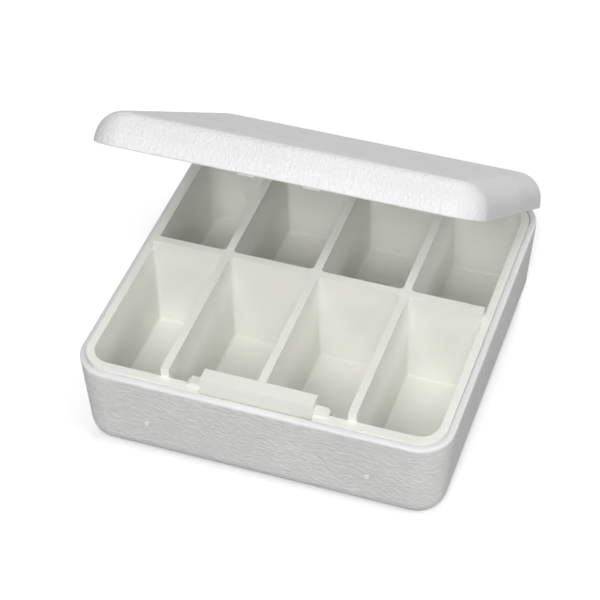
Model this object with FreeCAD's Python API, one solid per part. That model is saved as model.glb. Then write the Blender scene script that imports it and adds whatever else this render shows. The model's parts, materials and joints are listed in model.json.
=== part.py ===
import FreeCAD, Part
import math
import os

# Pill box: a grained case, a smooth tray of eight compartments pressed into it, and a hinged lid.
# Millimetres. The origin is the middle of the underside, +X right, +Y to the hinge, +Z up.
# Insets and set-backs are measured inwards from the case's outer rim, heights from the rim's plane.

# Case
case_width = 80.4
case_depth = 81.0
case_height = 22.4            # underside to the flat rim
corner_radius = 7.4           # rim corners, seen from above
case_draft = 3.6              # degrees that the walls lean in towards the underside
case_edge_radius = 5.5        # round edge between the walls and the underside
case_wall = 1.3
case_floor = 1.2

# Tray
tray_gap = 0.1                # between the tray and the case, all round
tray_wall = 1.7
tray_floor = 1.2
tray_draft = 2.0
tray_floor_radius = 2.0
lip_height = 1.0              # the tray's lip above the case's rim
columns = 4
column_pitch = 20.0           # between long dividers, so the outer columns are a little narrower
cross_divider_y = -0.3        # middle of the divider between the two rows
divider_top = 3.15            # height of the dividers above the rim
divider_thickness = 1.8       # at the top edge
divider_draft = 0.9
divider_rounding = 0.3

# Catch on the tray's front wall
catch_width = 24.2
catch_clearance = 0.3         # between the bar's nose and the closed lid's nibs, which swing back a little
catch_depth = 3.45            # from the bar's nose to its back
catch_top = 3.5
catch_nose_height = 1.6       # height of the bar's front face
catch_rounding = 0.3
pad_width = 30.4              # the thicker wall that carries the bar
pad_depth = 1.25
pad_top = 1.75
pad_reach = 9.0               # how far the pad runs down the wall
pad_slope = 0.8               # the pad's ends lean in by this much
pad_rounding = 0.6
recess_depth = 1.0            # pocket under the bar's nose, for the nibs
recess_bottom = -1.6

# Pips that hold the tray in the case's front wall
pip_spacing = 47.8
pip_drop = 11.8               # below the rim
pip_radius = 0.6
pip_clearance = 0.08
pip_stand = 0.18              # how far a pip stands out of the wall
pip_dish = 0.22

# Lid
lid_height = 7.0
lid_draft = 5.0
lid_edge_radius = 5.7
lid_wall = 1.2
lid_top = 1.3
seam_gap = 0.2                # between the closed lid and the case's rim
lid_opening = 36.6            # the pose that is modelled, in degrees from closed
lid_travel = 100.0            # from closed to fully open
nib_spacing = 13.3
nib_width = 3.4
nib_thickness = 0.25
nib_clearance = 0.1           # between a nib and the rim band in front of it
nib_reach = 0.7               # how far a nib reaches below the lid's edge
nib_height = 1.8              # from the lid's edge up to where the nib runs into the wall
slit_spacing = 35.4           # small notches in the lid's front edge
slit_width = 0.3
slit_depth = 0.18
slit_height = 2.0

# Hinge
hinge_inset = 2.1             # axis to the rear face, and to the rim above it
barrel_radius = 2.0
knuckle_radius = 1.85
knuckle_width = 13.0
knuckle_spacing = 44.0
hinge_clearance = 0.3
pin_radius = 0.6
pin_fit = 0.02                # radial clearance in the case
knuckle_fit = 0.05            # radial clearance in the lid
pin_inset = 1.0               # free length at each end of the pin's hole
web_overhang = 0.3            # a knuckle's web stands this far inside the lid's rear wall
web_overlap = 0.4             # and runs this far up into it

past = 1.0                    # cutters run this far past the faces that they open
near = 1e-4                   # edges this close to a level lie on it

half_width = case_width / 2
half_depth = case_depth / 2
front_face = -half_depth
rim_z = case_height
axis_y = half_depth - hinge_inset
axis_z = rim_z - hinge_inset
barrel_half = half_width - corner_radius
nib_tip = case_wall + nib_clearance + nib_thickness

tray_inset = case_wall + tray_gap
tray_rear_inner = hinge_inset + barrel_radius + hinge_clearance
tray_rear_inset = tray_rear_inner - tray_wall
lip_z = rim_z + lip_height
tray_bottom = case_floor + tray_gap
floor_z = tray_bottom + tray_floor
divider_z = rim_z + divider_top


def slope(degrees):
    return math.tan(math.radians(degrees))


def block(x_low, x_high, y_low, y_high, z_low, z_high):
    corner = FreeCAD.Vector(x_low, y_low, z_low)
    return Part.makeBox(x_high - x_low, y_high - y_low, z_high - z_low, corner)


def rod_x(radius, x_low, x_high, y=axis_y, z=axis_z):
    start = FreeCAD.Vector(x_low, y, z)
    return Part.makeCylinder(radius, x_high - x_low, start, FreeCAD.Vector(1, 0, 0))


def prism_x(outline, x_low, x_high):
    points = [FreeCAD.Vector(x_low, y, z) for y, z in outline]
    face = Part.Face(Part.makePolygon(points + points[:1]))
    return face.extrude(FreeCAD.Vector(x_high - x_low, 0, 0))


def rounded_outline(half_x, y_low, y_high, radius, z):
    """Rounded rectangle, level at height z, symmetric left and right."""
    bow = radius * (1 - math.sqrt(0.5))
    starts = []
    for side_x, side_y in [(1, -1), (1, 1), (-1, 1), (-1, -1)]:
        x, y = side_x * half_x, y_high if side_y > 0 else y_low
        along_x = FreeCAD.Vector(x - side_x * radius, y, z)
        along_y = FreeCAD.Vector(x, y - side_y * radius, z)
        middle = FreeCAD.Vector(x - side_x * bow, y - side_y * bow, z)
        first, last = (along_x, along_y) if side_x * side_y < 0 else (along_y, along_x)
        starts.append((first, middle, last))
    edges = []
    for index, (first, middle, last) in enumerate(starts):
        edges.append(Part.Arc(first, middle, last).toShape())
        edges.append(Part.LineSegment(last, starts[(index + 1) % len(starts)][0]).toShape())
    return Part.Wire(edges)


def tub(inset, rear_inset, rim, reach, draft, edge_radius):
    """Solid bounded by drafted walls from a rim to a level end with a round edge; reach < 0 goes down."""
    radius = corner_radius - inset
    lean = abs(reach) * slope(draft)
    half_x, y_low, y_high = half_width - inset, front_face + inset, half_depth - rear_inset
    mouth = rounded_outline(half_x, y_low, y_high, radius, rim)
    end = rounded_outline(half_x - lean, y_low + lean, y_high - lean, radius - lean, rim + reach)
    solid = Part.makeLoft([mouth, end], True, True)
    far_z = rim + reach
    edges = [edge for edge in solid.Edges
             if max(abs(edge.BoundBox.ZMin - far_z), abs(edge.BoundBox.ZMax - far_z)) < near]
    return solid.makeFillet(min(edge_radius, 0.9 * (radius - lean)), edges)


def front_at(z, inset=0.0):
    """The y of a drafted front face, inset from the case's, at height z."""
    return front_face + inset + (rim_z - z) * slope(case_draft)


def knuckle_ranges(extra=0.0):
    half = knuckle_width / 2 + extra
    return [(side * knuckle_spacing / 2 - half, side * knuckle_spacing / 2 + half) for side in (-1, 1)]


def pip_centres():
    return [(side * pip_spacing / 2, rim_z - pip_drop) for side in (-1, 1)]


def pip_rod(x, z, radius, y_low, y_high):
    return Part.makeCylinder(radius, y_high - y_low, FreeCAD.Vector(x, y_low, z), FreeCAD.Vector(0, 1, 0))


def pin_hole(radius):
    """The pin's hole: blind on the left, open through the right-hand corner."""
    return rod_x(radius, pin_hole_start(), half_width)


def pin_hole_start():
    return -barrel_half + pin_inset


def make_case():
    outside = tub(0, 0, rim_z, -case_height, case_draft, case_edge_radius)
    inner_edge = case_edge_radius - case_wall
    rear_inset = tray_rear_inset - tray_gap
    cavity = tub(case_wall, rear_inset, rim_z, case_floor - case_height, case_draft, inner_edge)
    case = outside.cut(cavity).fuse(rod_x(barrel_radius, -barrel_half, barrel_half))
    over = block(-half_width, half_width, axis_y, half_depth + past, axis_z, rim_z + past)
    case = case.cut(over.cut(rod_x(barrel_radius, -half_width, half_width)))
    turn = math.atan2(hinge_inset + seam_gap, knuckle_radius) - math.radians(lid_travel)
    web_reach = math.hypot(hinge_inset + seam_gap, knuckle_radius)
    notch_drop = max(knuckle_radius, -web_reach * math.sin(turn)) + hinge_clearance
    for x_low, x_high in knuckle_ranges(hinge_clearance):
        case = case.cut(rod_x(knuckle_radius + hinge_clearance, x_low, x_high))
        case = case.cut(block(x_low, x_high, axis_y, half_depth + past, axis_z - notch_drop, rim_z + past))
    case = case.cut(pin_hole(pin_radius + pin_fit))
    for x, z in pip_centres():
        back = front_at(z, tray_inset) + past
        case = case.cut(pip_rod(x, z, pip_radius + pip_clearance, front_face - past, back))
    return case.removeSplitter()


def tray_tub(depth_in_wall, bottom_z, draft, edge_radius):
    """Solid of the tray's outline, moved into its wall by a depth, from the lip down to a level."""
    rear_inset = tray_rear_inset + depth_in_wall
    return tub(tray_inset + depth_in_wall, rear_inset, lip_z, bottom_z - lip_z, draft, edge_radius)


def divider_bounds():
    """Space that the dividers fill: half-way into the walls below the lip, between their faces above it."""
    half_wall = tray_wall / 2
    edge_radius = case_edge_radius - tray_inset - half_wall
    below = tray_tub(half_wall, tray_bottom + tray_floor / 2, case_draft, edge_radius)
    inner_half = half_width - tray_inset - tray_wall
    inner_front = front_face + tray_inset + tray_wall
    inner_rear = half_depth - tray_rear_inner
    radius = corner_radius - tray_inset - tray_wall
    outline = rounded_outline(inner_half, inner_front, inner_rear, radius, lip_z)
    above = Part.Face(outline).extrude(FreeCAD.Vector(0, 0, divider_z + past - lip_z))
    return below.fuse(above)


def make_dividers():
    """Tapered walls from inside the tray's floor to above its lip."""
    half_top = divider_thickness / 2
    half_foot = half_top + (divider_z - tray_bottom) * slope(divider_draft)
    profile = [(-half_foot, tray_bottom), (half_foot, tray_bottom),
               (half_top, divider_z), (-half_top, divider_z)]
    walls = [prism_x(profile, -half_width, half_width)]
    walls[0].translate(FreeCAD.Vector(0, cross_divider_y, 0))
    for column in range(1, columns):
        wall = prism_x(profile, -half_depth, half_depth)
        wall.rotate(FreeCAD.Vector(0, 0, 0), FreeCAD.Vector(0, 0, 1), 90)
        wall.translate(FreeCAD.Vector((column - columns / 2) * column_pitch, 0, 0))
        walls.append(wall)
    grid = walls[0].multiFuse(walls[1:]).removeSplitter()
    top_edges = [edge for edge in grid.Edges if edge.BoundBox.ZMin > divider_z - near]
    return grid.makeFillet(divider_rounding, top_edges).common(divider_bounds())


def make_catch_pad():
    wall_back = front_face + tray_inset + tray_wall
    back = wall_back + pad_depth
    foot_z = lip_z - pad_reach
    half = pad_width / 2
    top_z = rim_z + pad_top
    foot = wall_back - tray_wall / 2
    points = [(-half, foot_z), (half, foot_z), (half, lip_z), (half - pad_slope, top_z),
              (pad_slope - half, top_z), (-half, lip_z)]
    corners = [FreeCAD.Vector(x, foot, z) for x, z in points]
    face = Part.Face(Part.makePolygon(corners + corners[:1]))
    pad = face.extrude(FreeCAD.Vector(0, back - foot, 0))
    taper_z = lip_z - pad_depth
    taper = prism_x([(back + past, foot_z - past), (back + past, taper_z), (back, taper_z),
                     (wall_back, foot_z), (wall_back, foot_z - past)], -half, half)
    pad = pad.cut(taper)
    upright = [edge for edge in pad.Edges
               if edge.BoundBox.YMin > back - near
               and edge.BoundBox.XLength < pad_slope + near
               and edge.BoundBox.ZMax > taper_z + near]
    return pad.makeFillet(min(pad_rounding, pad_depth / 2), upright)


def make_catch_bar():
    nose = front_face + nib_tip + catch_clearance
    back = nose + catch_depth
    top = rim_z + catch_top
    nose_foot = top - catch_nose_height
    under = front_face + tray_inset + recess_depth
    profile = [(nose, nose_foot), (nose, top), (back, top), (back, rim_z + pad_top),
               (front_face + tray_inset + tray_wall + pad_depth, lip_z - pad_depth),
               (under, lip_z - pad_depth), (under, nose_foot)]
    bar = prism_x(profile, -catch_width / 2, catch_width / 2)
    edges = [edge for edge in bar.Edges
             if edge.BoundBox.ZMin > top - near
             or (edge.BoundBox.YMax < nose + near and edge.BoundBox.ZMax < nose_foot + near)]
    return bar.makeFillet(catch_rounding, edges)


def make_tray():
    outer_edge = case_edge_radius - tray_inset
    shell = tray_tub(0, tray_bottom, case_draft, outer_edge)
    shell = shell.cut(tray_tub(tray_wall, floor_z, tray_draft, tray_floor_radius))
    tray = shell.fuse(make_dividers()).fuse(make_catch_pad())
    rear_top = axis_z - barrel_radius - hinge_clearance
    notch_half = barrel_half + hinge_clearance
    rear_inner = half_depth - tray_rear_inner
    tray = tray.cut(block(-notch_half, notch_half, rear_inner, half_depth, rear_top, lip_z + past))
    front = front_face + tray_inset - past
    recess_back = front_face + tray_inset + recess_depth
    half_catch = catch_width / 2
    recess = block(-half_catch, half_catch, front, recess_back, rim_z + recess_bottom, divider_z)
    tray = tray.cut(recess)
    tray = tray.fuse(make_catch_bar())
    for x, z in pip_centres():
        tip = front_at(z) - pip_stand
        tray = tray.fuse(pip_rod(x, z, pip_radius, tip, front_at(z, tray_inset) + tray_wall / 2))
        dish = Part.makeSphere(pip_radius, FreeCAD.Vector(x, tip - pip_radius + pip_dish, z))
        tray = tray.cut(dish)
    return tray.removeSplitter()


def make_lid():
    """The lid closed on the case, then turned about the hinge to the modelled pose."""
    edge_z = rim_z + seam_gap
    outside = tub(0, 0, edge_z, lid_height, lid_draft, lid_edge_radius)
    inner_edge = lid_edge_radius - lid_wall
    cavity = tub(lid_wall, lid_wall, edge_z, lid_height - lid_top, lid_draft, inner_edge)
    lid = outside.cut(cavity)
    web_front = half_depth - lid_wall - web_overhang
    for x_low, x_high in knuckle_ranges():
        web = block(x_low, x_high, web_front, axis_y + knuckle_radius, axis_z, edge_z + web_overlap)
        lid = lid.fuse(rod_x(knuckle_radius, x_low, x_high)).fuse(web)
    lid = lid.cut(pin_hole(pin_radius + knuckle_fit))
    for side in (-1, 1):
        lid = lid.fuse(make_nib(side * nib_spacing / 2, edge_z))
        x = side * slit_spacing / 2
        slit = block(x - slit_width / 2, x + slit_width / 2, front_face - past, front_face + slit_depth,
                     edge_z - past, edge_z + slit_height)
        lid = lid.cut(slit)
    lid = lid.removeSplitter()
    lid.rotate(FreeCAD.Vector(0, axis_y, axis_z), FreeCAD.Vector(-1, 0, 0), lid_opening)
    return lid


def make_nib(x, edge_z):
    """Small hook inside the lid's front wall that reaches below the lid's edge, under the catch bar."""
    front = front_face + case_wall + nib_clearance
    tip = front_face + nib_tip
    foot = edge_z - nib_reach
    root = front_face + lid_wall / 2
    profile = [(front, foot), (tip, foot), (tip, edge_z + nib_height / 3), (root, edge_z + nib_height),
               (root, edge_z), (front, edge_z)]
    return prism_x(profile, x - nib_width / 2, x + nib_width / 2)


def make_pin():
    """Steel wire: its right-hand end stays inside the corner's round face."""
    reach = corner_radius - hinge_inset
    corner_x = barrel_half + math.sqrt(corner_radius ** 2 - reach ** 2)
    end = corner_x - pin_inset - hinge_inset * slope(case_draft)
    return rod_x(pin_radius, pin_hole_start() + pin_inset, end)


nodes = {
    "case": make_case,
    "compartment_tray": make_tray,
    "lid": make_lid,
    "hinge_pin": make_pin,
}

os.makedirs("parts", exist_ok=True)
for name, make in nodes.items():
    shape = make()
    shape.exportStep(f"parts/{name}.step")
    box = shape.BoundBox
    print(f"{name}: {len(shape.Solids)} solid, valid {shape.isValid()}, volume {shape.Volume:.0f} mm3, "
          f"x {box.XMin:.2f} {box.XMax:.2f}, y {box.YMin:.2f} {box.YMax:.2f}, z {box.ZMin:.2f} {box.ZMax:.2f}")
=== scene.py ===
import json
import math
import bpy
import bmesh
from mathutils import Matrix, Vector


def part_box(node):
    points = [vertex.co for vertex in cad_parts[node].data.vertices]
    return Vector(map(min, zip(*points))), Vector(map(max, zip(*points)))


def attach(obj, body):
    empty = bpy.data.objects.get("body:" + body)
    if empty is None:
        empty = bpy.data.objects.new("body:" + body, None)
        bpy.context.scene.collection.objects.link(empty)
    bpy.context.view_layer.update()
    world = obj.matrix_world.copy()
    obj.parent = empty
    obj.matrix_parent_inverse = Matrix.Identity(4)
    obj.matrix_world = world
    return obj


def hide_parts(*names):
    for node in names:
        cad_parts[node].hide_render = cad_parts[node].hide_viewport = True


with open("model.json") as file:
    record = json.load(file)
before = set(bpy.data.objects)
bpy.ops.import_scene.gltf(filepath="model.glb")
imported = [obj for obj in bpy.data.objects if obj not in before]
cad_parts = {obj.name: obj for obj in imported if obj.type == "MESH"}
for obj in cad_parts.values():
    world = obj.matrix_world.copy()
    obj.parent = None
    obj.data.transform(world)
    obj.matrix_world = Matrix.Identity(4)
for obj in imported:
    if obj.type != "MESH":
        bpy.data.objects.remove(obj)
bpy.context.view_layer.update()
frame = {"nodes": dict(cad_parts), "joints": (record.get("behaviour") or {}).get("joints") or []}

# Pill box: a grained case and lid in white plastic, a smooth tray inside, a steel hinge wire.
# Pieces are modelled in millimetres with the lid closed, then scaled to metres.

toMetres = 0.001
past = 1.0                     # how far a cutter reaches past what it cuts
scene = bpy.context.scene

caseLow, caseHigh = [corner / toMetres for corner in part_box("case")]
trayLow, trayHigh = [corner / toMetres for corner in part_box("compartment_tray")]
joint = frame["joints"][0]
hingePoint = Vector(joint["pos_m"]) / toMetres
lidOpening = -joint["range_deg"][0]
halfWidth = caseHigh.x
halfDepth = caseHigh.y
rimLevel = caseHigh.z

shared = {
    "cornerRadius": 7.4,
    "cornerSteps": 14,
    "caseWall": 1.3,
    "trayGap": 0.1,            # between the case's wall and the tray, all round
    "seamGap": 0.2,            # between the case's rim and the closed lid
    "pinRadius": 0.6,
    "blindEnd": 1.0,           # plastic left beyond the end of the wire's hole
    "knuckleRadius": 1.85,
    "knuckleWidth": 13.0,
    "knuckleSpacing": 44.0,
    "pipSpacing": 47.8,
    "pipDrop": 11.8,
    "pipRadius": 0.6,
}
barrelHalf = halfWidth - shared["cornerRadius"]
sharpAngle = 38                # degrees; edges sharper than this get a small round
cornerAngle = 50               # degrees; an outline that turns more than this has a corner there
near = 0.01                    # places closer together than this are the same place
level = 0.001                  # heights closer together than this are the same height


def arc(centreOffset, centreLevel, radius, start, end, steps, up=1):
    # points of a quarter turn or less, as offsets inwards and levels
    points = []
    for step in range(steps + 1):
        angle = math.radians(start + (end - start) * step / steps)
        points.append((centreOffset - radius * math.cos(angle), centreLevel + up * radius * math.sin(angle)))
    return points


def tubProfile(mouth, reach, draft, edgeRadius, offset=0.0, steps=8):
    # a drafted wall from the mouth's level, then a round edge onto a flat end; reach < 0 goes down
    up = 1 if reach > 0 else -1
    lean = math.tan(math.radians(draft))
    centre = abs(reach) - edgeRadius
    centreOffset = offset + centre * lean + edgeRadius / math.cos(math.radians(draft))
    return arc(centreOffset, mouth + up * centre, edgeRadius, draft, 90, steps, up)


def newPlate(halfX, yLow, yHigh, radius, level, steps):
    # one level face with round corners
    bm = bmesh.new()
    bmesh.ops.create_grid(bm, x_segments=1, y_segments=1, size=1.0)
    bmesh.ops.scale(bm, vec=(halfX, (yHigh - yLow) / 2, 1), verts=bm.verts)
    bmesh.ops.translate(bm, vec=(0, (yHigh + yLow) / 2, level), verts=bm.verts)
    bmesh.ops.bevel(bm, geom=bm.verts[:], offset=radius, offset_type="OFFSET", segments=steps,
                    profile=0.5, affect="VERTICES", material=-1, clamp_overlap=False)
    bm.faces.ensure_lookup_table()
    return bm


def insetAlong(bm, face, profile, material=None):
    # insets a level face again and again, so that its rim follows the profile
    for (offset, level), (nextOffset, nextLevel) in zip(profile, profile[1:]):
        face.normal_update()
        way = 1 if face.normal.z > 0 else -1
        ring = bmesh.ops.inset_region(bm, faces=[face], thickness=nextOffset - offset,
                                      depth=way * (nextLevel - level), use_even_offset=True,
                                      use_boundary=True)["faces"]
        if material is not None:
            for side in ring:
                side.material_index = material
    return face


def coin(bm, thickness):
    # a thin slab from a plate; returns its lower and upper faces
    plate = bm.faces[:]
    made = bmesh.ops.extrude_face_region(bm, geom=plate, use_keep_orig=True)
    lifted = [item for item in made["geom"] if isinstance(item, bmesh.types.BMVert)]
    bmesh.ops.translate(bm, vec=(0, 0, thickness), verts=lifted)
    bmesh.ops.recalc_face_normals(bm, faces=bm.faces)
    levels = sorted((face for face in bm.faces if len(face.verts) > 4), key=lambda face: face.verts[0].co.z)
    return levels[0], levels[-1]


def newBlock(xLow, xHigh, yLow, yHigh, zLow, zHigh):
    bm = bmesh.new()
    bmesh.ops.create_cube(bm, size=1.0)
    bmesh.ops.scale(bm, vec=(xHigh - xLow, yHigh - yLow, zHigh - zLow), verts=bm.verts)
    bmesh.ops.translate(bm, vec=((xLow + xHigh) / 2, (yLow + yHigh) / 2, (zLow + zHigh) / 2), verts=bm.verts)
    return bm


def newRod(radius, start, end, steps=48):
    bm = bmesh.new()
    start, end = Vector(start), Vector(end)
    bmesh.ops.create_cone(bm, cap_ends=True, segments=steps, radius1=radius, radius2=radius,
                          depth=(end - start).length)
    turn = Vector((0, 0, 1)).rotation_difference(end - start).to_matrix()
    bmesh.ops.rotate(bm, cent=(0, 0, 0), matrix=turn, verts=bm.verts)
    bmesh.ops.translate(bm, vec=(start + end) / 2, verts=bm.verts)
    return bm


def newPrism(outline, xLow, xHigh):
    # a closed outline in y and z, extruded along x
    bm = bmesh.new()
    verts = [bm.verts.new((xLow, y, z)) for y, z in outline]
    face = bm.faces.new(verts)
    made = bmesh.ops.extrude_face_region(bm, geom=[face], use_keep_orig=True)
    moved = [item for item in made["geom"] if isinstance(item, bmesh.types.BMVert)]
    bmesh.ops.translate(bm, vec=(xHigh - xLow, 0, 0), verts=moved)
    bmesh.ops.recalc_face_normals(bm, faces=bm.faces)
    return bm


def meshOf(bm, name):
    mesh = bpy.data.meshes.new(name)
    bm.to_mesh(mesh)
    bm.free()
    return mesh


def combine(bm, *others):
    # cuts or joins other solids, given as (operation, bmesh) pairs
    target = bpy.data.objects.new("target", meshOf(bm, "target"))
    scene.collection.objects.link(target)
    helpers = [target]
    for operation, other in others:
        helper = bpy.data.objects.new("helper", meshOf(other, "helper"))
        scene.collection.objects.link(helper)
        helpers.append(helper)
        modifier = target.modifiers.new("solid", "BOOLEAN")
        modifier.operation = operation
        modifier.solver = "EXACT"
        modifier.object = helper
    graph = bpy.context.evaluated_depsgraph_get()
    result = bmesh.new()
    result.from_mesh(target.evaluated_get(graph).to_mesh())
    for helper in helpers:
        bpy.data.objects.remove(helper)
    bmesh.ops.remove_doubles(result, verts=result.verts, dist=0.0005)
    bmesh.ops.dissolve_degenerate(result, dist=0.0005, edges=result.edges)
    return result


def finishPiece(bm, name, materials, body, replaced, edgeWidth, edgeSteps=3):
    bmesh.ops.scale(bm, vec=(toMetres,) * 3, verts=bm.verts)
    mesh = meshOf(bm, name)
    for polygon in mesh.polygons:
        polygon.use_smooth = True
    for material in materials:
        mesh.materials.append(material)
    piece = bpy.data.objects.new(name, mesh)
    scene.collection.objects.link(piece)
    edges = piece.modifiers.new("edges", "BEVEL")
    edges.width = edgeWidth * toMetres
    edges.segments = edgeSteps
    edges.limit_method = "ANGLE"
    edges.angle_limit = math.radians(sharpAngle)
    edges.miter_outer = "MITER_ARC"
    edges.harden_normals = False
    normals = piece.modifiers.new("normals", "WEIGHTED_NORMAL")
    normals.keep_sharp = False
    normals.weight = 80        # big faces keep their own direction
    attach(piece, body)
    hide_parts(replaced)
    print(name, len(mesh.polygons), "faces")


def addNode(tree, kind, place, **values):
    node = tree.nodes.new(kind)
    node.location = place
    for key, value in values.items():
        if hasattr(node, key):
            setattr(node, key, value)
        else:
            node.inputs[key.replace("_", " ")].default_value = value
    return node


def addMath(tree, operation, place, first, second=None, third=None):
    node = tree.nodes.new("ShaderNodeMath")
    node.operation = operation
    node.location = place
    for index, value in enumerate((first, second, third)):
        if value is None:
            continue
        if isinstance(value, (int, float)):
            node.inputs[index].default_value = value
        else:
            tree.links.new(value, node.inputs[index])
    return node.outputs[0]


def newGroup(name, inputs, outputs):
    group = bpy.data.node_groups.new(name, "ShaderNodeTree")
    for socketName, kind, value in inputs:
        socket = group.interface.new_socket(name=socketName, in_out="INPUT", socket_type=kind)
        if value is not None:
            socket.default_value = value
    for socketName, kind in outputs:
        group.interface.new_socket(name=socketName, in_out="OUTPUT", socket_type=kind)
    return group, addNode(group, "NodeGroupInput", (-900, 0)), addNode(group, "NodeGroupOutput", (700, 0))


def makeLeatherGrain():
    # moulded leather grain: pebbles parted by fine valleys, with longer wrinkles across them
    group, start, end = newGroup(
        "leatherGrain",
        [("Vector", "NodeSocketVector", None), ("Pebbles", "NodeSocketFloat", 1300.0),
         ("Wander", "NodeSocketFloat", 0.5), ("Wrinkles", "NodeSocketFloat", 0.5)],
        [("Height", "NodeSocketFloat"), ("Valleys", "NodeSocketFloat")])
    link = group.links.new
    drift = addNode(group, "ShaderNodeTexNoise", (-700, -200), Detail=3.0, Roughness=0.55)
    link(start.outputs["Vector"], drift.inputs["Vector"])
    link(addMath(group, "MULTIPLY", (-880, -250), start.outputs["Pebbles"], 0.5), drift.inputs["Scale"])
    centred = addNode(group, "ShaderNodeVectorMath", (-520, -200), operation="SUBTRACT")
    link(drift.outputs["Color"], centred.inputs[0])
    centred.inputs[1].default_value = (0.5, 0.5, 0.5)
    reach = addMath(group, "DIVIDE", (-520, -380), start.outputs["Wander"], start.outputs["Pebbles"])
    pushed = addNode(group, "ShaderNodeVectorMath", (-350, -200), operation="SCALE")
    link(centred.outputs[0], pushed.inputs[0])
    link(addMath(group, "MULTIPLY", (-400, -380), reach, 2.0), pushed.inputs["Scale"])
    place = addNode(group, "ShaderNodeVectorMath", (-200, -100), operation="ADD")
    link(start.outputs["Vector"], place.inputs[0])
    link(pushed.outputs[0], place.inputs[1])
    pebble = addNode(group, "ShaderNodeTexVoronoi", (-20, 100), feature="SMOOTH_F1", Smoothness=0.35,
                     Randomness=0.9)
    link(place.outputs[0], pebble.inputs["Vector"])
    link(start.outputs["Pebbles"], pebble.inputs["Scale"])
    dome = addNode(group, "ShaderNodeMapRange", (160, 100), interpolation_type="SMOOTHSTEP")
    dome.inputs["From Min"].default_value = 0.75
    dome.inputs["From Max"].default_value = 0.1
    link(pebble.outputs["Distance"], dome.inputs["Value"])
    wrinkle = addNode(group, "ShaderNodeTexNoise", (-20, -200), Detail=2.0, Roughness=0.6, Distortion=0.8)
    stretched = addNode(group, "ShaderNodeMapping", (-200, -350))
    stretched.inputs["Rotation"].default_value = (math.radians(12), math.radians(16), math.radians(10))
    stretched.inputs["Scale"].default_value = (0.8, 0.8, 1.1)
    link(place.outputs[0], stretched.inputs["Vector"])
    link(stretched.outputs[0], wrinkle.inputs["Vector"])
    link(addMath(group, "MULTIPLY", (-200, -520), start.outputs["Pebbles"], 0.9), wrinkle.inputs["Scale"])
    foldHeight = addNode(group, "ShaderNodeMapRange", (300, -200), interpolation_type="SMOOTHSTEP")
    foldHeight.inputs["From Min"].default_value = 0.36
    foldHeight.inputs["From Max"].default_value = 0.64
    link(wrinkle.outputs["Fac"], foldHeight.inputs["Value"])
    mix = addNode(group, "ShaderNodeMix", (480, 0))
    link(start.outputs["Wrinkles"], mix.inputs["Factor"])
    link(dome.outputs[0], mix.inputs[2])
    link(foldHeight.outputs[0], mix.inputs[3])
    link(mix.outputs[0], end.inputs["Height"])
    # Valleys: where the grain is low; the plastic paints shade into its colour there
    link(addMath(group, "SUBTRACT", (600, -150), 1.0, mix.outputs[0]), end.inputs["Valleys"])
    return group


def makeBlotches():
    # slow uneven tone with fine specks of dust
    group, start, end = newGroup(
        "blotches",
        [("Vector", "NodeSocketVector", None), ("Size", "NodeSocketFloat", 0.012),
         ("Specks", "NodeSocketFloat", 0.0)],
        [("Tone", "NodeSocketFloat"), ("Dust", "NodeSocketFloat")])
    link = group.links.new
    slow = addNode(group, "ShaderNodeTexNoise", (-400, 100), Detail=3.0, Roughness=0.5)
    link(start.outputs["Vector"], slow.inputs["Vector"])
    link(addMath(group, "DIVIDE", (-600, 100), 1.0, start.outputs["Size"]), slow.inputs["Scale"])
    link(slow.outputs["Fac"], end.inputs["Tone"])
    speck = addNode(group, "ShaderNodeTexNoise", (-400, -200), Scale=2600.0, Detail=1.0)
    link(start.outputs["Vector"], speck.inputs["Vector"])
    picked = addNode(group, "ShaderNodeMapRange", (-150, -200))
    picked.inputs["From Min"].default_value = 0.66
    picked.inputs["From Max"].default_value = 0.74
    link(speck.outputs["Fac"], picked.inputs["Value"])
    dust = addMath(group, "MULTIPLY", (50, -200), picked.outputs[0], start.outputs["Specks"])
    link(dust, end.inputs["Dust"])
    return group


leatherGrain = makeLeatherGrain()
blotches = makeBlotches()


def newMaterial(name, finish):
    material = bpy.data.materials.new(name)
    material.use_nodes = True
    tree = material.node_tree
    shader = tree.nodes["Principled BSDF"]
    coordinates = addNode(tree, "ShaderNodeTexCoord", (-1300, 0))
    shader.inputs["Specular IOR Level"].default_value = finish.get("gloss", 0.5)
    shader.inputs["Subsurface Weight"].default_value = finish.get("translucency", 0.0)
    shader.inputs["Subsurface Radius"].default_value = finish.get("depthRGB", (1.0, 1.0, 1.0))
    shader.inputs["Subsurface Scale"].default_value = finish.get("depth", 0.001)
    return material, tree, shader, coordinates.outputs["Object"]


def tintByTone(tree, tone, dark, light, place, low=0.35, high=0.65):
    ramp = addNode(tree, "ShaderNodeValToRGB", place)
    ramp.color_ramp.elements[0].position = low
    ramp.color_ramp.elements[1].position = high
    ramp.color_ramp.elements[0].color = (*dark, 1)
    ramp.color_ramp.elements[1].color = (*light, 1)
    tree.links.new(tone, ramp.inputs["Fac"])
    return ramp.outputs["Color"]


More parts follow.
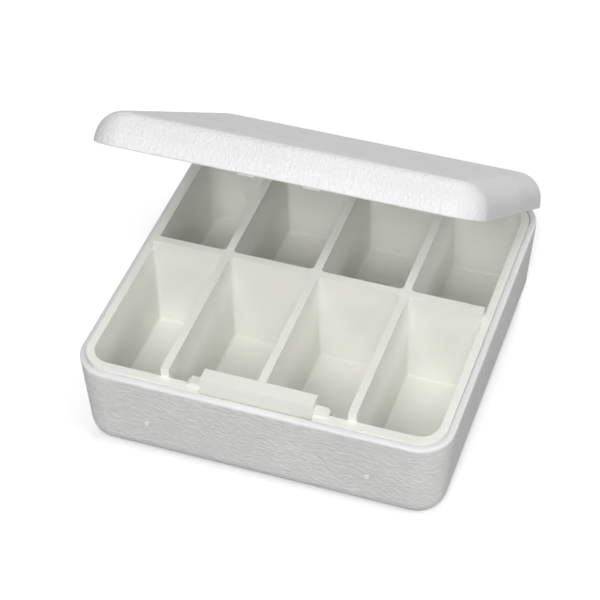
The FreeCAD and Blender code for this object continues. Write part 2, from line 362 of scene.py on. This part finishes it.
def makePlastic(name, finish):
    material, tree, shader, coordinates = newMaterial(name, finish)
    link = tree.links.new
    uneven = addNode(tree, "ShaderNodeGroup", (-1000, 250))
    uneven.node_tree = blotches
    uneven.inputs["Size"].default_value = finish["blotchSize"]
    uneven.inputs["Specks"].default_value = finish["specks"]
    link(coordinates, uneven.inputs["Vector"])
    colour = tintByTone(tree, uneven.outputs["Tone"], finish["dark"], finish["light"], (-750, 300))
    roughTone = addNode(tree, "ShaderNodeMapRange", (-500, 50))
    roughTone.inputs["To Min"].default_value = finish["roughness"] - 0.05
    roughTone.inputs["To Max"].default_value = finish["roughness"] + 0.05
    link(uneven.outputs["Tone"], roughTone.inputs["Value"])
    bump = addNode(tree, "ShaderNodeBump", (-250, -300))
    bump.inputs["Strength"].default_value = finish["bumpStrength"]
    bump.inputs["Distance"].default_value = finish["bumpDepth"]
    if "pebbles" in finish:
        turned = addNode(tree, "ShaderNodeMapping", (-1000, -300), vector_type="TEXTURE")
        turned.inputs["Rotation"].default_value = [math.radians(angle) for angle in finish["turn"]]
        turned.inputs["Scale"].default_value = finish["stretch"]
        link(coordinates, turned.inputs["Vector"])
        grain = addNode(tree, "ShaderNodeGroup", (-750, -300))
        grain.node_tree = leatherGrain
        grain.inputs["Pebbles"].default_value = finish["pebbles"]
        grain.inputs["Wander"].default_value = finish["wander"]
        grain.inputs["Wrinkles"].default_value = finish["wrinkles"]
        link(turned.outputs[0], grain.inputs["Vector"])
        link(grain.outputs["Height"], bump.inputs["Height"])
        # painted shade: the base colour is darkened in the grain's valleys, where shade would fall
        shade = addNode(tree, "ShaderNodeMix", (-450, 300), data_type="RGBA", blend_type="MULTIPLY")
        link(addMath(tree, "MULTIPLY", (-600, 120), grain.outputs["Valleys"], finish["paintedValleyShade"]),
             shade.inputs[0])
        link(colour, shade.inputs[6])
        shade.inputs[7].default_value = (*finish["paintedValleyShadeColour"], 1)
        colour = shade.outputs[2]
    else:
        fine = addNode(tree, "ShaderNodeTexNoise", (-750, -300), Scale=finish["texture"], Detail=4.0)
        link(coordinates, fine.inputs["Vector"])
        link(fine.outputs["Fac"], bump.inputs["Height"])
    dusty = addNode(tree, "ShaderNodeMix", (-250, 300), data_type="RGBA")
    link(uneven.outputs["Dust"], dusty.inputs[0])
    link(colour, dusty.inputs[6])
    dusty.inputs[7].default_value = (*finish["dust"], 1)
    link(dusty.outputs[2], shader.inputs["Base Color"])
    link(roughTone.outputs[0], shader.inputs["Roughness"])
    link(bump.outputs[0], shader.inputs["Normal"])
    return material


grainedFinish = {
    # the case's colours: the plastic's own white, painted darker than the lid's same plastic as painted
    # shade on the case's walls
    "dark": (0.80, 0.797, 0.782),
    "light": (0.84, 0.837, 0.825),
    "dust": (0.70, 0.69, 0.67),
    "specks": 0.25,
    "blotchSize": 0.014,
    "roughness": 0.48,
    "gloss": 0.45,
    "translucency": 0.12,
    "depth": 0.001,
    "depthRGB": (1.0, 0.98, 0.92),
    "pebbles": 1600.0,
    "wander": 0.5,
    "wrinkles": 0.6,
    "turn": (0, 12, 0),
    "stretch": (1.65, 1.65, 1.0),
    "bumpStrength": 0.75,
    "bumpDepth": 0.00018,
    # painted shade in the grain's valleys: how much darker, and the colour it darkens towards
    "paintedValleyShade": 0.45,
    "paintedValleyShadeColour": (0.80, 0.80, 0.80),
}

smoothFinish = {
    "dark": (0.84, 0.84, 0.835),
    "light": (0.87, 0.87, 0.865),
    "dust": (0.75, 0.74, 0.72),
    "specks": 0.2,
    "blotchSize": 0.010,
    "roughness": 0.36,
    "gloss": 0.5,
    "translucency": 0.7,
    "depth": 0.0025,
    "depthRGB": (1.0, 0.98, 0.92),
    "texture": 2200.0,
    "bumpStrength": 0.12,
    "bumpDepth": 0.00004,
}

trayFinish = {
    "dark": (0.90, 0.905, 0.85),
    "light": (0.925, 0.925, 0.88),
    "dust": (0.80, 0.79, 0.76),
    "specks": 0.15,
    "blotchSize": 0.011,
    "roughness": 0.33,
    "gloss": 0.5,
    "translucency": 0.18,
    "depth": 0.001,
    "depthRGB": (1.0, 0.95, 0.80),
    "texture": 1400.0,
    "bumpStrength": 0.12,
    "bumpDepth": 0.00005,
}

# one plastic in two copies: the case's copy is painted darker as painted shade, the lid's copy keeps the
# plastic's own white
caseGrainPaintedShade = makePlastic("grainedPlasticPaintedShade", grainedFinish)
lidGrain = makePlastic("grainedLidPlastic", {
    **grainedFinish,
    # the lid's colours are the plastic's own white; the case's copy above is painted darker as shade
    "dark": (0.84, 0.84, 0.838),
    "light": (0.875, 0.875, 0.873),
    "wrinkles": 0.25,
    "turn": (-lidOpening, 0, 0),     # the grain follows the lid's own plane
    "stretch": (1.0, 1.0, 1.3),
    "bumpStrength": 0.6,
    # weaker painted shade in the lid grain's valleys
    "paintedValleyShade": 0.22,
})
smoothPlastic = makePlastic("smoothPlastic", smoothFinish)
trayPlastic = makePlastic("trayPlastic", trayFinish)


def makeWireSteel():
    # drawn wire: fine lines along its length
    finish = {"gloss": 0.5}
    material, tree, shader, coordinates = newMaterial("wireSteel", finish)
    link = tree.links.new
    stretched = addNode(tree, "ShaderNodeMapping", (-1000, 0))
    stretched.inputs["Scale"].default_value = (0.03, 1, 1)
    link(coordinates, stretched.inputs["Vector"])
    lines = addNode(tree, "ShaderNodeTexNoise", (-750, 0), Scale=9000.0, Detail=3.0)
    link(stretched.outputs[0], lines.inputs["Vector"])
    link(tintByTone(tree, lines.outputs["Fac"], (0.42, 0.42, 0.43), (0.62, 0.62, 0.63), (-500, 200)),
         shader.inputs["Base Color"])
    roughTone = addNode(tree, "ShaderNodeMapRange", (-500, -100))
    roughTone.inputs["To Min"].default_value = 0.25
    roughTone.inputs["To Max"].default_value = 0.45
    link(lines.outputs["Fac"], roughTone.inputs["Value"])
    link(roughTone.outputs[0], shader.inputs["Roughness"])
    shader.inputs["Metallic"].default_value = 1.0
    bump = addNode(tree, "ShaderNodeBump", (-250, -300))
    bump.inputs["Strength"].default_value = 0.3
    bump.inputs["Distance"].default_value = 0.00002
    link(lines.outputs["Fac"], bump.inputs["Height"])
    link(bump.outputs[0], shader.inputs["Normal"])
    return material


pin = frame["nodes"]["hinge_pin"]
pin.data.materials.clear()
pin.data.materials.append(makeWireSteel())
print("materials ready")


caseValues = {
    "draft": 3.6,
    "edgeRadius": 5.39,
    "floor": 1.2,
    "rimRound": 0.35,          # outer edge of the rim
    "innerRound": 0.05,
    "seamFill": 0.16,          # the rim leans onto the tray, so no dark gap shows
    "bandHeight": 0.35,        # smooth band under the rim, above the grain
    "barrelRadius": 2.0,
    "clearance": 0.3,
    "notchDrop": 3.3,
    "pinClearance": 0.02,
    "pipClearance": 0.08,
    "pipHoleDepth": 4.0,       # from the case's front face, through the wall
    "cutEdge": 0.12,
}


def knuckleRanges(extra=0.0):
    half = shared["knuckleWidth"] / 2 + extra
    return [(side * shared["knuckleSpacing"] / 2 - half, side * shared["knuckleSpacing"] / 2 + half)
            for side in (-1, 1)]


def hingeRod(radius, xLow, xHigh, steps=48):
    return newRod(radius, (xLow, hingePoint.y, hingePoint.z), (xHigh, hingePoint.y, hingePoint.z), steps)


def makeCase(values):
    # grain is material 0, smooth plastic is material 1
    wall = shared["caseWall"] + values["seamFill"]
    outerRound, innerRound = values["rimRound"], values["innerRound"]
    coinTop = rimLevel - outerRound
    bm = newPlate(halfWidth, -halfDepth, halfDepth, shared["cornerRadius"], coinTop - values["bandHeight"],
                  shared["cornerSteps"])
    low, high = coin(bm, values["bandHeight"])
    for face in bm.faces:
        face.material_index = 1
    insetAlong(bm, low, [(0, coinTop - values["bandHeight"])]
               + tubProfile(rimLevel, -rimLevel, values["draft"], values["edgeRadius"]), 0)
    low.material_index = 0
    cavity = tubProfile(rimLevel, values["floor"] - rimLevel, values["draft"],
                        values["edgeRadius"] - wall, wall)
    insetAlong(bm, high, arc(outerRound, coinTop, outerRound, 0, 90, 4)
               + [(wall - innerRound, rimLevel), (wall, rimLevel - innerRound)] + cavity, 1)
    # the rear wall's top is cut away behind the hinge, down to the barrel
    yPast, zPast = halfDepth + past, rimLevel + past
    rearCut = combine(
        newBlock(-halfWidth - past, halfWidth + past, hingePoint.y, yPast, hingePoint.z, zPast),
        ("DIFFERENCE", hingeRod(values["barrelRadius"], -halfWidth - 2 * past, halfWidth + 2 * past)))
    steps = [("UNION", hingeRod(values["barrelRadius"], -barrelHalf, barrelHalf)), ("DIFFERENCE", rearCut)]
    for xLow, xHigh in knuckleRanges(values["clearance"]):
        steps.append(("DIFFERENCE", hingeRod(shared["knuckleRadius"] + values["clearance"], xLow, xHigh)))
        steps.append(("DIFFERENCE", newBlock(xLow, xHigh, hingePoint.y, yPast,
                                             hingePoint.z - values["notchDrop"], zPast)))
    steps.append(("DIFFERENCE", hingeRod(shared["pinRadius"] + values["pinClearance"],
                                         shared["blindEnd"] - barrelHalf, halfWidth, 24)))
    for side in (-1, 1):
        x, z = side * shared["pipSpacing"] / 2, rimLevel - shared["pipDrop"]
        steps.append(("DIFFERENCE", newRod(shared["pipRadius"] + values["pipClearance"],
                                           (x, -halfDepth - past, z),
                                           (x, -halfDepth + values["pipHoleDepth"], z), 32)))
    return combine(bm, *steps)


finishPiece(makeCase(caseValues), "case_shell", [caseGrainPaintedShade, smoothPlastic], "base",
            "case", caseValues["cutEdge"], 2)


lidValues = {
    "height": 7.0,
    "draft": 5.0,
    "edgeRadius": 5.7,
    "wall": 1.2,
    "top": 1.3,
    "rimRound": 0.3,
    "innerRound": 0.15,
    "bandHeight": 0.1,
    "nibSpacing": 13.3,
    "nibWidth": 3.4,
    "nibFront": 1.52,          # from the case's front face
    "nibTip": 1.77,
    "nibReach": 0.4,
    "nibHeight": 1.8,
    "slitSpacing": 35.4,
    "slitWidth": 0.3,
    "slitDepth": 0.18,
    "slitHeight": 2.0,
    "webOverhang": 0.3,
    "webOverlap": 0.4,
    "pinClearance": 0.05,
    "cutEdge": 0.1,
}


def makeLid(values):
    wall = values["wall"]
    edge = rimLevel + shared["seamGap"]
    outerRound, innerRound = values["rimRound"], values["innerRound"]
    coinLow = edge + outerRound
    bm = newPlate(halfWidth, -halfDepth, halfDepth, shared["cornerRadius"], coinLow, shared["cornerSteps"])
    low, high = coin(bm, values["bandHeight"])
    for face in bm.faces:
        face.material_index = 0
    outside = tubProfile(edge, values["height"], values["draft"], values["edgeRadius"], 0, 10)
    insetAlong(bm, high, [(0.0, coinLow + values["bandHeight"])] + outside, 0)
    high.material_index = 0
    cavity = tubProfile(edge, values["height"] - values["top"], values["draft"],
                        values["edgeRadius"] - wall, wall)
    insetAlong(bm, low, arc(outerRound, coinLow, outerRound, 0, 90, 4, -1)
               + [(wall - innerRound, edge), (wall, edge + innerRound)] + cavity, 1)
    low.material_index = 1
    steps = []
    webFront = halfDepth - wall - values["webOverhang"]
    for xLow, xHigh in knuckleRanges():
        steps.append(("UNION", newBlock(xLow, xHigh, webFront, hingePoint.y + shared["knuckleRadius"],
                                        hingePoint.z, edge + values["webOverlap"])))
        steps.append(("UNION", hingeRod(shared["knuckleRadius"], xLow, xHigh)))
    steps.append(("DIFFERENCE", hingeRod(shared["pinRadius"] + values["pinClearance"],
                                         shared["blindEnd"] - barrelHalf, halfWidth, 24)))
    for side in (-1, 1):
        x = side * values["nibSpacing"] / 2
        root, front, tip = wall / 2 - halfDepth, values["nibFront"] - halfDepth, values["nibTip"] - halfDepth
        foot, top = edge - values["nibReach"], edge + values["nibHeight"]
        steps.append(("UNION", newPrism(
            [(front, foot), (tip, foot), (tip, edge + values["nibHeight"] / 3), (root, top),
             (root, edge + 0.02), (front, edge + 0.02)],
            x - values["nibWidth"] / 2, x + values["nibWidth"] / 2)))
        x = side * values["slitSpacing"] / 2
        steps.append(("DIFFERENCE", newBlock(x - values["slitWidth"] / 2, x + values["slitWidth"] / 2,
                                             -halfDepth - past, -halfDepth + values["slitDepth"],
                                             edge - past, edge + values["slitHeight"])))
    bm = combine(bm, *steps)
    turn = Matrix.Rotation(math.radians(lidOpening), 3, Vector((-1, 0, 0)))
    bmesh.ops.rotate(bm, cent=hingePoint, matrix=turn, verts=bm.verts)
    return bm


finishPiece(makeLid(lidValues), "lid_shell", [lidGrain, smoothPlastic], "lid",
            "lid", lidValues["cutEdge"], 2)


trayValues = {
    "lipHeight": 1.0,          # above the case's rim
    "frontStep": 0.3,          # the front is this much further from the middle than the sides
    "wall": 1.7,
    "draft": 3.2,
    "outerEdge": 2.4,
    "columnPitch": 20.0,
    "crossY": -0.3,
    "dividerTop": 3.15,
    "dividerThickness": 1.8,
    "cellDraft": 0.9,
    "cellCorner": 0.95,
    "cellFillet": 0.6,
    "mouthInset": 0.01,        # the cells' short first step, which keeps their rims crisp
    "mouthDepth": 0.4,
    "floorLevel": 2.6,
    "cornerRadius": 6.0,
    "catchWidth": 24.2,
    "catchNose": 1.95,         # from the case's front face
    "catchDepth": 3.45,
    "catchTop": 3.5,
    "noseHeight": 1.6,
    "barSink": 0.5,            # how far the bar's back edge goes down into the pad
    "barLap": 0.05,
    "padWidth": 30.4,
    "padDepth": 1.25,
    "padTop": 1.75,
    "padReach": 9.0,
    "padSlope": 0.8,
    "recessDepth": 1.0,
    "recessBottom": -1.6,
    "pipStand": 0.18,          # out of the case's front face
    "pipRoot": 2.2,            # back into the tray's wall
    "edge": 0.3,
}


def centreOf(face):
    return face.calc_center_median()


def makeTray(values):
    lip = rimLevel + values["lipHeight"]
    wall = values["wall"]
    half = values["dividerThickness"] / 2
    front = -trayHigh.x - values["frontStep"]
    bm = newPlate(trayHigh.x, front, trayHigh.y, values["cornerRadius"], lip, shared["cornerSteps"])
    kind = bm.faces.layers.int.new("kind")
    bm.faces.ensure_lookup_table()
    plate = bm.faces[0]
    # lip ring, then the walls' places cut into the face inside it
    ring = bmesh.ops.inset_region(bm, faces=[plate], thickness=wall, depth=0, use_even_offset=True,
                                  use_boundary=True)["faces"]
    for face in ring:
        face[kind] = -2
    columns = [side * values["columnPitch"] for side in (-1, 0, 1)]
    cuts = [((x + side * half, 0, 0), (1, 0, 0)) for x in columns for side in (-1, 1)]
    cuts += [((0, values["crossY"] + side * half, 0), (0, 1, 0)) for side in (-1, 1)]
    for point, across in cuts:
        bmesh.ops.bisect_plane(bm, geom=[*bm.faces, *bm.edges, *bm.verts], plane_co=point, plane_no=across)
    inside = [face for face in bm.faces if face[kind] != -2]

    def inWall(face):
        centre = centreOf(face)
        return abs(centre.y - values["crossY"]) < half or any(abs(centre.x - x) < half for x in columns)

    walls = [face for face in inside if inWall(face)]
    for number, cell in enumerate((face for face in inside if not inWall(face)), 1):
        cell[kind] = number
    grid = bmesh.ops.dissolve_faces(bm, faces=walls)["region"][0]
    grid[kind] = -1

    def faceOf(number):
        return max((face for face in bm.faces if face[kind] == number), key=lambda face: face.calc_area())

    # round the corners where dividers cross
    crossings = [vert for vert in grid.verts if len(vert.link_edges) == 2
                 and abs(abs(vert.co.y - values["crossY"]) - half) < near
                 and min(abs(abs(vert.co.x - x) - half) for x in columns) < near]
    bmesh.ops.bevel(bm, geom=crossings, offset=values["cellCorner"], offset_type="OFFSET", segments=5,
                    profile=0.5, affect="VERTICES", material=-1)
    # cells go down with a little draft, a round corner where a divider meets the wall, and a fillet
    drop = lip - values["floorLevel"]
    mouth = (values["mouthInset"], lip - values["mouthDepth"])
    for number in range(1, 9):
        cell = insetAlong(bm, faceOf(number), [(0, lip), mouth])
        for face in bm.faces:
            if face[kind] == number and face is not cell:
                face[kind] = 0
        sharp = []
        for loop in cell.loops:
            before = (loop.vert.co - loop.link_loop_prev.vert.co).normalized()
            after = (loop.link_loop_next.vert.co - loop.vert.co).normalized()
            if before.angle(after) > math.radians(cornerAngle):
                sharp.append(loop.vert)
        bmesh.ops.bevel(bm, geom=sharp, offset=values["cellCorner"], offset_type="OFFSET", segments=5,
                        profile=0.5, affect="VERTICES", material=-1)
        insetAlong(bm, faceOf(number), [mouth]
                   + tubProfile(lip, -drop, values["cellDraft"], values["cellFillet"], 0, 4))
    grid = faceOf(-1)
    # dividers stand above the lip
    made = bmesh.ops.extrude_face_region(bm, geom=[grid])
    lifted = [item for item in made["geom"] if isinstance(item, bmesh.types.BMVert)]
    bmesh.ops.translate(bm, vec=(0, 0, rimLevel + values["dividerTop"] - lip), verts=lifted)
    left = [face for face in bm.faces if face[kind] == -1 and abs(centreOf(face).z - lip) < level]
    bmesh.ops.delete(bm, geom=left, context="FACES_ONLY")
    # outside, down into the case
    outline = [edge for edge in bm.edges if edge.is_boundary]
    outer = bmesh.ops.contextual_create(bm, geom=outline)["faces"]
    for face in outer:
        face.normal_update()
        if face.normal.z > 0:
            face.normal_flip()
    insetAlong(bm, outer[0], [(0, lip)] + tubProfile(lip, trayLow.z - lip, values["draft"],
                                                     values["outerEdge"], 0, 6))
    bmesh.ops.recalc_face_normals(bm, faces=bm.faces)
    return bm, lip


def makeCatch(values, lip):
    caseFront = -halfDepth
    trayFront = caseFront + shared["caseWall"] + shared["trayGap"]
    wallBack = trayFront + values["wall"]
    back = wallBack + values["padDepth"]
    taper = lip - values["padDepth"]
    top = rimLevel + values["padTop"]
    halfPad = values["padWidth"] / 2
    inWall, foot = wallBack - values["wall"] / 2, lip - values["padReach"]
    pad = newPrism([(inWall, foot), (wallBack, foot), (back, taper), (back, top), (inWall, top)],
                   -halfPad, halfPad)
    for side in (-1, 1):
        corner = Vector((side * halfPad, 0, lip))
        geom = [*pad.verts, *pad.edges, *pad.faces]
        bmesh.ops.bisect_plane(pad, geom=geom, plane_co=corner,
                               plane_no=(side * (top - lip), 0, values["padSlope"]), clear_outer=True)
        bmesh.ops.holes_fill(pad, edges=[edge for edge in pad.edges if edge.is_boundary])
    bmesh.ops.recalc_face_normals(pad, faces=pad.faces)
    nose = caseFront + values["catchNose"]
    barTop = rimLevel + values["catchTop"]
    noseFoot = barTop - values["noseHeight"]
    under = trayFront + values["recessDepth"]
    barBack = nose + values["catchDepth"]
    bar = newPrism([(nose, noseFoot), (nose, barTop), (barBack, barTop), (barBack, top - values["barSink"]),
                    (back - values["barLap"], taper), (under, taper), (under, noseFoot)],
                   -values["catchWidth"] / 2, values["catchWidth"] / 2)
    recess = newBlock(-values["catchWidth"] / 2, values["catchWidth"] / 2, trayFront - past, under,
                      rimLevel + values["recessBottom"], barTop + past)
    return pad, recess, bar


trayBody, lipLevel = makeTray(trayValues)
pad, recess, bar = makeCatch(trayValues, lipLevel)
traySteps = [("UNION", pad), ("DIFFERENCE", recess), ("UNION", bar)]
for side in (-1, 1):
    x, z = side * shared["pipSpacing"] / 2, rimLevel - shared["pipDrop"]
    face = -halfDepth + shared["pipDrop"] * math.tan(math.radians(caseValues["draft"]))
    tip = face - trayValues["pipStand"]
    pip = newRod(shared["pipRadius"], (x, tip, z), (x, face + trayValues["pipRoot"], z), 32)
    traySteps.append(("UNION", pip))
barrelRoom = caseValues["barrelRadius"] + caseValues["clearance"]
notchHalf = barrelHalf + caseValues["clearance"]
traySteps.append(("DIFFERENCE", newBlock(-notchHalf, notchHalf, hingePoint.y - barrelRoom, halfDepth,
                                         hingePoint.z - barrelRoom, lipLevel + past)))
finishPiece(combine(trayBody, *traySteps), "compartment_tray_body", [trayPlastic], "base",
            "compartment_tray", trayValues["edge"], 3)


stage = {
    "floorHalf": 8.0,
    "floorLight": 0.25,
    "floorBounce": 0.45,
    "worldLight": 0.02,
    "lightDistance": 0.9,
    "lights": [
        {"name": "cameraSide", "energy": 3.6, "size": 0.35, "azimuth": 6, "elevation": 38},
        {"name": "high", "energy": 1.2, "size": 0.12, "azimuth": 14, "elevation": 57},
        {"name": "top", "energy": 0.9, "size": 0.6, "azimuth": 0, "elevation": 85},
        {"name": "right", "energy": 2.6, "size": 0.5, "azimuth": 76, "elevation": 36},
        {"name": "left", "energy": 1.1, "size": 0.5, "azimuth": -60, "elevation": 30},
        {"name": "back", "energy": 3.5, "size": 0.5, "azimuth": 180, "elevation": 35},
    ],
}


def addFloor():
    bm = bmesh.new()
    bmesh.ops.create_grid(bm, x_segments=1, y_segments=1, size=stage["floorHalf"])
    floor = bpy.data.objects.new("floor", meshOf(bm, "floor"))
    scene.collection.objects.link(floor)
    material = bpy.data.materials.new("floorPaper")
    material.use_nodes = True
    shader = material.node_tree.nodes["Principled BSDF"]
    shader.inputs["Base Color"].default_value = (0.93, 0.93, 0.93, 1)
    shader.inputs["Roughness"].default_value = 0.9
    shader.inputs["Specular IOR Level"].default_value = 0.1
    shader.inputs["Emission Color"].default_value = (1, 1, 1, 1)
    shader.inputs["Emission Strength"].default_value = stage["floorLight"]
    # the paper throws back less light than it shows, as paper further away would
    tree = material.node_tree
    dim = addNode(tree, "ShaderNodeBsdfDiffuse", (0, -400))
    dim.inputs["Color"].default_value = (stage["floorBounce"],) * 3 + (1,)
    seen = addNode(tree, "ShaderNodeLightPath", (0, 400))
    either = addNode(tree, "ShaderNodeMixShader", (350, 0))
    tree.links.new(seen.outputs["Is Camera Ray"], either.inputs[0])
    tree.links.new(dim.outputs[0], either.inputs[1])
    tree.links.new(shader.outputs[0], either.inputs[2])
    tree.links.new(either.outputs[0], tree.nodes["Material Output"].inputs["Surface"])
    floor.data.materials.append(material)


def turnTo(azimuth, elevation):
    # azimuth 0 is in front, on the -Y side
    return (Matrix.Rotation(math.radians(azimuth), 4, "Z")
            @ Matrix.Rotation(math.radians(90 - elevation), 4, "X"))


def addLight(values):
    data = bpy.data.lights.new(values["name"], "AREA")
    data.energy = values["energy"]
    data.shape = "DISK"
    data.size = values["size"]
    light = bpy.data.objects.new(values["name"], data)
    turn = turnTo(values["azimuth"], values["elevation"])
    light.matrix_world = turn @ Matrix.Translation((0, 0, stage["lightDistance"]))
    scene.collection.objects.link(light)


def addCamera():
    values = {"azimuth": 19.275, "elevation": 42.929, "roll": -0.756, "distance": 0.42197,
              "target": (-0.001581, -0.006169, 0.0224), "lens": 119.01}
    data = bpy.data.cameras.new("camera")
    data.lens = values["lens"]
    data.sensor_width = 36.0
    data.clip_start = 0.01
    camera = bpy.data.objects.new("camera", data)
    turn = (turnTo(values["azimuth"], values["elevation"])
            @ Matrix.Rotation(math.radians(values["roll"]), 4, "Z"))
    back = turn.to_3x3() @ Vector((0, 0, 1))
    camera.matrix_world = Matrix.Translation(Vector(values["target"]) + back * values["distance"]) @ turn
    scene.collection.objects.link(camera)
    scene.camera = camera


addFloor()
for light in stage["lights"]:
    addLight(light)
world = bpy.data.worlds.new("studio")
world.use_nodes = True
world.node_tree.nodes["Background"].inputs["Color"].default_value = (1, 1, 1, 1)
world.node_tree.nodes["Background"].inputs["Strength"].default_value = stage["worldLight"]
scene.world = world
scene.view_settings.view_transform = "Standard"
addCamera()
print("stage ready")
